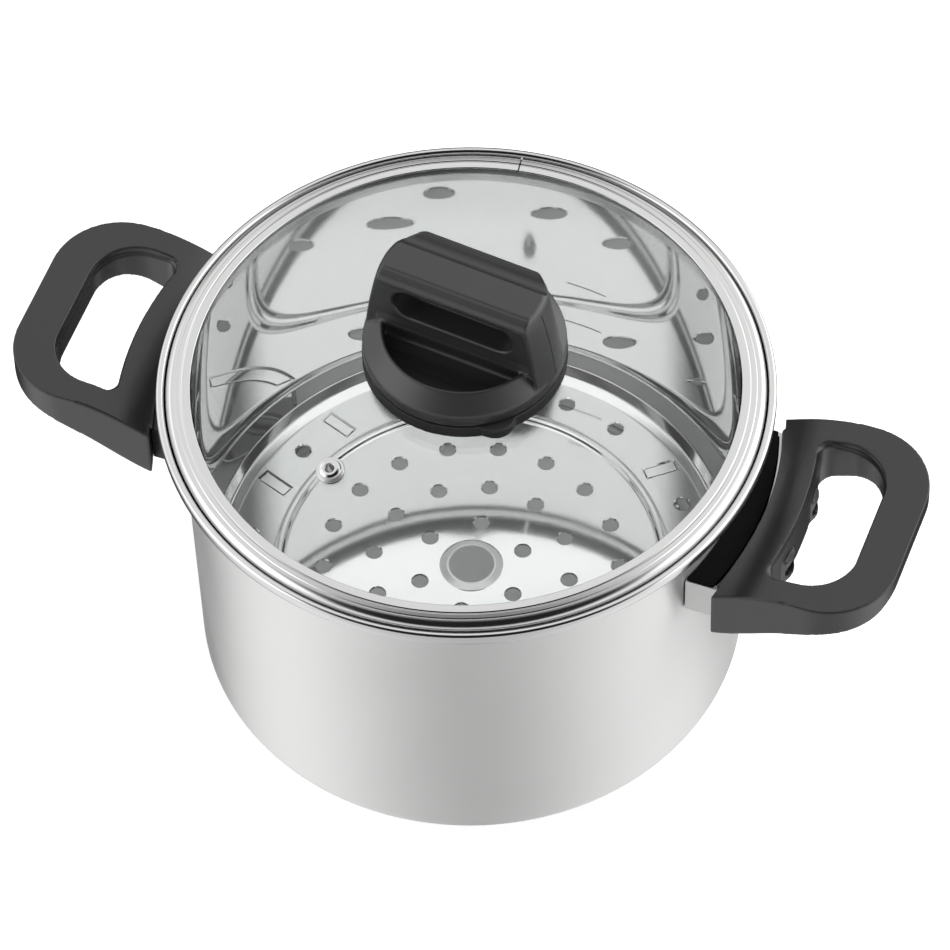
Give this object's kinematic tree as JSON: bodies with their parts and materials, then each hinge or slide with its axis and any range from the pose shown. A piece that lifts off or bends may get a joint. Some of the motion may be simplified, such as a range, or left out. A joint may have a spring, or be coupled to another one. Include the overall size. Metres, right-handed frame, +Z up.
{
  "type": "lidded steam and stew pot",
  "caption": "Round steel stew pot with two plastic loop handles, a domed glass lid with knob and steam vent, and a lift-out perforated steamer plate.",
  "frame": {"origin": "centre of the flat base, on the table, on the pot's axis", "axes": "+X from the pot's axis to the right-hand handle, +Y to the back, +Z up along the pot's axis"},
  "size_m": [0.363, 0.2404, 0.2193],
  "materials": {
    "satin_steel": "satin, with soft vertical light bands",
    "polished_steel": "polished stainless steel",
    "zinc_steel": "zinc plated, semi-matte",
    "aluminium": "bare sheet",
    "brass": "turned",
    "dark_plastic": "fine satin grain",
    "dark_rubber": "matte",
    "grey_silicone": "translucent grey, matte",
    "clear_glass": "clear, smooth"
  },
  "bodies": {
    "pot": {"pot_body": "satin_steel", "base_core": "aluminium", "base_cap": "satin_steel", "left_bracket": "satin_steel", "right_bracket": "satin_steel", "left_handle": "dark_plastic", "right_handle": "dark_plastic", "left_screw_1": "zinc_steel", "left_screw_2": "zinc_steel", "right_screw_1": "zinc_steel", "right_screw_2": "zinc_steel", "left_nut_1": "zinc_steel", "left_nut_2": "zinc_steel", "right_nut_1": "zinc_steel", "right_nut_2": "zinc_steel", "left_spacer": "dark_plastic", "right_spacer": "dark_plastic"},
    "lid": {"lid_glass": "clear_glass", "lid_band": "polished_steel", "lid_seal": "grey_silicone", "vent_eyelet": "polished_steel", "knob_body": "dark_plastic", "knob_seat": "dark_rubber", "knob_insert": "brass", "knob_screw": "zinc_steel", "knob_washer": "zinc_steel", "knob_gasket": "grey_silicone"},
    "steamer": {"steamer_plate": "polished_steel", "steamer_leg_1": "polished_steel", "steamer_leg_2": "polished_steel", "steamer_leg_3": "polished_steel"}
  },
  "joints": [
    {"name": "lid_lift", "type": "slide", "parent": "pot", "child": "lid", "axis": [0, 0, 1], "range_m": [0, 0.15]},
    {"name": "steamer_lift", "type": "slide", "parent": "pot", "child": "steamer", "axis": [0, 0, 1], "range_m": [0, 0.1]}
  ]
}
